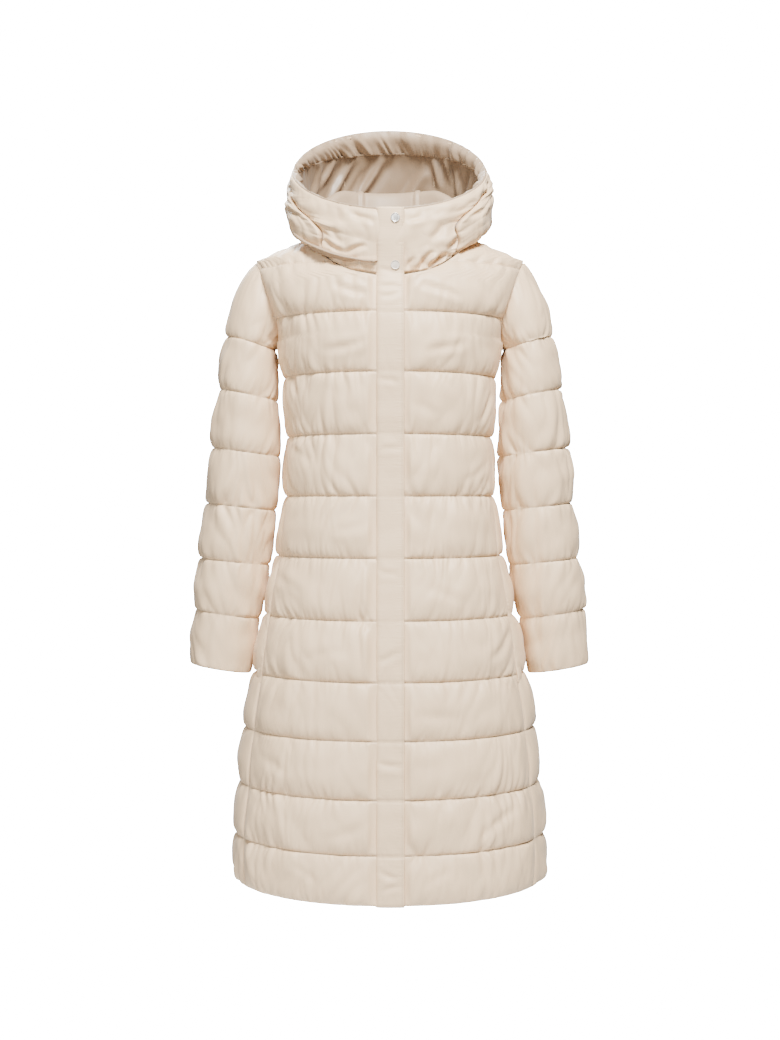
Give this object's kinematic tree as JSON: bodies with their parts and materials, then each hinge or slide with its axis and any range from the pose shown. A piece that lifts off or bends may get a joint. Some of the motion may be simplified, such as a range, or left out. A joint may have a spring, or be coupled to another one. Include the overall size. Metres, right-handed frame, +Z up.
{
  "type": "long hooded puffer coat",
  "caption": "Long down-filled coat with horizontal baffles, a standing padded hood, a snap-fastened front placket and side-seam pockets, filled out as worn.",
  "frame": {"origin": "base of the neck, midway between the two shoulder lines, where the wearer's neck and shoulders hold the coat", "axes": "+Z up, front faces -Y, +X towards the wearer's left"},
  "size_m": [0.622, 0.3763, 1.1961],
  "materials": {
    "shell": "soft satin nylon",
    "lining": "smooth lining cloth",
    "snap_metal": "pale satin metal",
    "snap_tone": "lacquered to match the cloth",
    "zip_tape": "woven tape"
  },
  "bodies": {
    "root": {"back": "shell", "front_right": "shell", "front_left": "shell", "sleeve_right": "shell", "sleeve_left": "shell", "collar_right": "shell", "collar_left": "shell", "hood_right": "shell", "hood_left": "shell", "hood_back": "shell", "hood_rim": "shell", "placket": "shell", "pocket_welt_right": "shell", "pocket_welt_left": "shell", "hood_lining": "lining", "front_zip": "zip_tape", "snap_upper": "snap_metal", "snap_lower": "snap_tone"}
  },
  "joints": []
}
